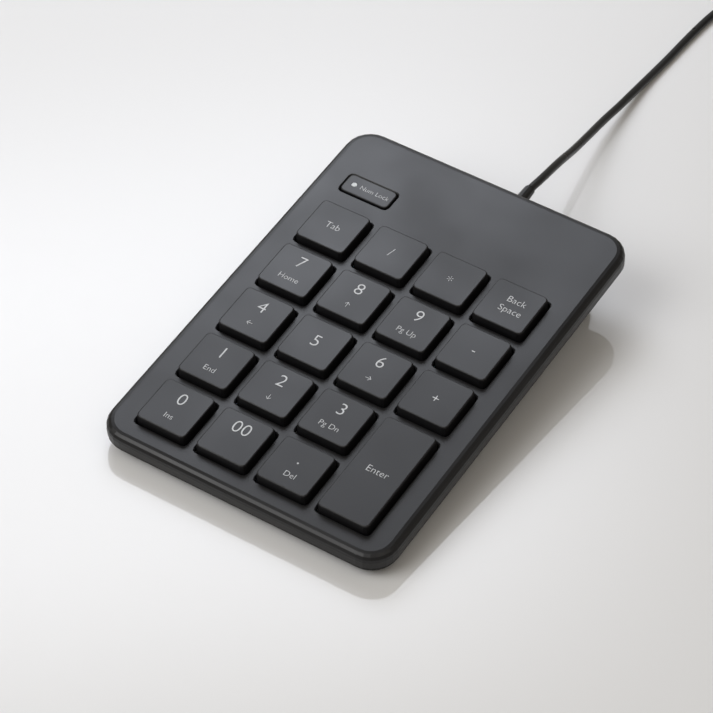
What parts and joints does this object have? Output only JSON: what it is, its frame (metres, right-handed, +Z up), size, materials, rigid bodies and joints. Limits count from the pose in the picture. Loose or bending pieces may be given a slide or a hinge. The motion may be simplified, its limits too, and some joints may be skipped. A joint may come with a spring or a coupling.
{
  "type": "numeric keypad",
  "caption": "Wired numeric keypad with low square keys, double-height Enter, lock button with lamp, fold-out rear feet and a coiled lead ending in a flat USB plug.",
  "frame": {"origin": "centre of the footprint of case and feet, on the surface that it stands on", "axes": "+X to the user's right, +Y to the rear where the lead leaves, +Z up"},
  "size_m": [0.1006, 0.2993, 0.0226],
  "materials": {
    "charcoal_abs": "fine-textured injection-moulded ABS",
    "key_abs": "smooth satin injection-moulded ABS with printed legends",
    "clear_acrylic": "clear acrylic light pipe",
    "silicone": "translucent moulded silicone",
    "polyester_film": "clear polyester film with printed silver tracks",
    "zinc_plated_steel": "zinc-plated steel",
    "glass_epoxy": "solder-masked glass-epoxy laminate",
    "epoxy_resin": "moulded epoxy",
    "led_resin": "diffused LED resin",
    "tongue_nylon": "moulded nylon",
    "black_abs": "satin injection-moulded plastic",
    "black_rubber": "die-cut rubber",
    "black_pvc": "extruded PVC cable sheath",
    "nickel_plate": "nickel-plated folded steel"
  },
  "bodies": {
    "case": {"top_cover": "charcoal_abs", "bottom_cover": "charcoal_abs", "dome_sheet": "silicone", "membrane_upper": "polyester_film", "membrane_spacer": "polyester_film", "membrane_lower": "polyester_film", "backplate": "zinc_plated_steel", "controller_board": "glass_epoxy", "controller_chip": "epoxy_resin", "num_lock_switch": "epoxy_resin", "status_led": "led_resin", "lead_socket": "tongue_nylon", "tail_clamp": "black_abs", "clamp_screw_left": "zinc_plated_steel", "clamp_screw_right": "zinc_plated_steel", "case_screw_front_left": "zinc_plated_steel", "case_screw_front_right": "zinc_plated_steel", "case_screw_rear_left": "zinc_plated_steel", "case_screw_rear_right": "zinc_plated_steel", "rubber_foot_front_left": "black_rubber", "rubber_foot_front_right": "black_rubber", "rubber_foot_rear_left": "black_rubber", "rubber_foot_rear_right": "black_rubber", "strain_relief": "black_pvc", "inner_leads": "black_pvc", "cable": "black_pvc", "cable_end": "black_pvc", "cable_coil": "black_pvc", "cable_tie": "black_abs", "plug_grip": "black_abs", "plug_shell": "nickel_plate", "plug_tongue": "tongue_nylon"},
    "keycap_0": {"key_0": "key_abs"},
    "keycap_00": {"key_00": "key_abs"},
    "keycap_decimal": {"key_decimal": "key_abs"},
    "keycap_1": {"key_1": "key_abs"},
    "keycap_2": {"key_2": "key_abs"},
    "keycap_3": {"key_3": "key_abs"},
    "keycap_enter": {"key_enter": "key_abs"},
    "keycap_4": {"key_4": "key_abs"},
    "keycap_5": {"key_5": "key_abs"},
    "keycap_6": {"key_6": "key_abs"},
    "keycap_add": {"key_add": "key_abs"},
    "keycap_7": {"key_7": "key_abs"},
    "keycap_8": {"key_8": "key_abs"},
    "keycap_9": {"key_9": "key_abs"},
    "keycap_subtract": {"key_subtract": "key_abs"},
    "keycap_tab": {"key_tab": "key_abs"},
    "keycap_divide": {"key_divide": "key_abs"},
    "keycap_multiply": {"key_multiply": "key_abs"},
    "keycap_backspace": {"key_backspace": "key_abs"},
    "num_lock": {"num_lock_button": "key_abs", "led_window": "clear_acrylic"},
    "left_foot": {"tilt_foot_left": "charcoal_abs", "tilt_pad_left": "black_rubber"},
    "right_foot": {"tilt_foot_right": "charcoal_abs", "tilt_pad_right": "black_rubber"}
  },
  "joints": [
    {"name": "key_0_press", "type": "slide", "parent": "case", "child": "keycap_0", "axis": [0, -0.1097, 0.994], "range_m": [-0.002, 0], "stiffness_N_per_m": 250, "springref_m": 0.0002, "deforming": ["dome_sheet"]},
    {"name": "key_00_press", "type": "slide", "parent": "case", "child": "keycap_00", "axis": [0, -0.1097, 0.994], "range_m": [-0.002, 0], "stiffness_N_per_m": 250, "springref_m": 0.0002, "deforming": ["dome_sheet"]},
    {"name": "key_decimal_press", "type": "slide", "parent": "case", "child": "keycap_decimal", "axis": [0, -0.1097, 0.994], "range_m": [-0.002, 0], "stiffness_N_per_m": 250, "springref_m": 0.0002, "deforming": ["dome_sheet"]},
    {"name": "key_1_press", "type": "slide", "parent": "case", "child": "keycap_1", "axis": [0, -0.1097, 0.994], "range_m": [-0.002, 0], "stiffness_N_per_m": 250, "springref_m": 0.0002, "deforming": ["dome_sheet"]},
    {"name": "key_2_press", "type": "slide", "parent": "case", "child": "keycap_2", "axis": [0, -0.1097, 0.994], "range_m": [-0.002, 0], "stiffness_N_per_m": 250, "springref_m": 0.0002, "deforming": ["dome_sheet"]},
    {"name": "key_3_press", "type": "slide", "parent": "case", "child": "keycap_3", "axis": [0, -0.1097, 0.994], "range_m": [-0.002, 0], "stiffness_N_per_m": 250, "springref_m": 0.0002, "deforming": ["dome_sheet"]},
    {"name": "key_enter_press", "type": "slide", "parent": "case", "child": "keycap_enter", "axis": [0, -0.1097, 0.994], "range_m": [-0.002, 0], "stiffness_N_per_m": 250, "springref_m": 0.0002, "deforming": ["dome_sheet"]},
    {"name": "key_4_press", "type": "slide", "parent": "case", "child": "keycap_4", "axis": [0, -0.1097, 0.994], "range_m": [-0.002, 0], "stiffness_N_per_m": 250, "springref_m": 0.0002, "deforming": ["dome_sheet"]},
    {"name": "key_5_press", "type": "slide", "parent": "case", "child": "keycap_5", "axis": [0, -0.1097, 0.994], "range_m": [-0.002, 0], "stiffness_N_per_m": 250, "springref_m": 0.0002, "deforming": ["dome_sheet"]},
    {"name": "key_6_press", "type": "slide", "parent": "case", "child": "keycap_6", "axis": [0, -0.1097, 0.994], "range_m": [-0.002, 0], "stiffness_N_per_m": 250, "springref_m": 0.0002, "deforming": ["dome_sheet"]},
    {"name": "key_add_press", "type": "slide", "parent": "case", "child": "keycap_add", "axis": [0, -0.1097, 0.994], "range_m": [-0.002, 0], "stiffness_N_per_m": 250, "springref_m": 0.0002, "deforming": ["dome_sheet"]},
    {"name": "key_7_press", "type": "slide", "parent": "case", "child": "keycap_7", "axis": [0, -0.1097, 0.994], "range_m": [-0.002, 0], "stiffness_N_per_m": 250, "springref_m": 0.0002, "deforming": ["dome_sheet"]},
    {"name": "key_8_press", "type": "slide", "parent": "case", "child": "keycap_8", "axis": [0, -0.1097, 0.994], "range_m": [-0.002, 0], "stiffness_N_per_m": 250, "springref_m": 0.0002, "deforming": ["dome_sheet"]},
    {"name": "key_9_press", "type": "slide", "parent": "case", "child": "keycap_9", "axis": [0, -0.1097, 0.994], "range_m": [-0.002, 0], "stiffness_N_per_m": 250, "springref_m": 0.0002, "deforming": ["dome_sheet"]},
    {"name": "key_subtract_press", "type": "slide", "parent": "case", "child": "keycap_subtract", "axis": [0, -0.1097, 0.994], "range_m": [-0.002, 0], "stiffness_N_per_m": 250, "springref_m": 0.0002, "deforming": ["dome_sheet"]},
    {"name": "key_tab_press", "type": "slide", "parent": "case", "child": "keycap_tab", "axis": [0, -0.1097, 0.994], "range_m": [-0.002, 0], "stiffness_N_per_m": 250, "springref_m": 0.0002, "deforming": ["dome_sheet"]},
    {"name": "key_divide_press", "type": "slide", "parent": "case", "child": "keycap_divide", "axis": [0, -0.1097, 0.994], "range_m": [-0.002, 0], "stiffness_N_per_m": 250, "springref_m": 0.0002, "deforming": ["dome_sheet"]},
    {"name": "key_multiply_press", "type": "slide", "parent": "case", "child": "keycap_multiply", "axis": [0, -0.1097, 0.994], "range_m": [-0.002, 0], "stiffness_N_per_m": 250, "springref_m": 0.0002, "deforming": ["dome_sheet"]},
    {"name": "key_backspace_press", "type": "slide", "parent": "case", "child": "keycap_backspace", "axis": [0, -0.1097, 0.994], "range_m": [-0.002, 0], "stiffness_N_per_m": 250, "springref_m": 0.0002, "deforming": ["dome_sheet"]},
    {"name": "num_lock_press", "type": "slide", "parent": "case", "child": "num_lock", "axis": [0, -0.1097, 0.994], "range_m": [-0.0005, 0], "stiffness_N_per_m": 1000, "springref_m": 0.0001, "deforming": ["num_lock_switch"]},
    {"name": "left_foot_fold", "type": "hinge", "parent": "case", "child": "left_foot", "pos_m": [-0.031, 0.05285, 0.01419], "axis": [-1, 0, 0], "range_deg": [0, 90]},
    {"name": "right_foot_fold", "type": "hinge", "parent": "case", "child": "right_foot", "pos_m": [0.031, 0.05285, 0.01419], "axis": [-1, 0, 0], "range_deg": [0, 90]}
  ]
}
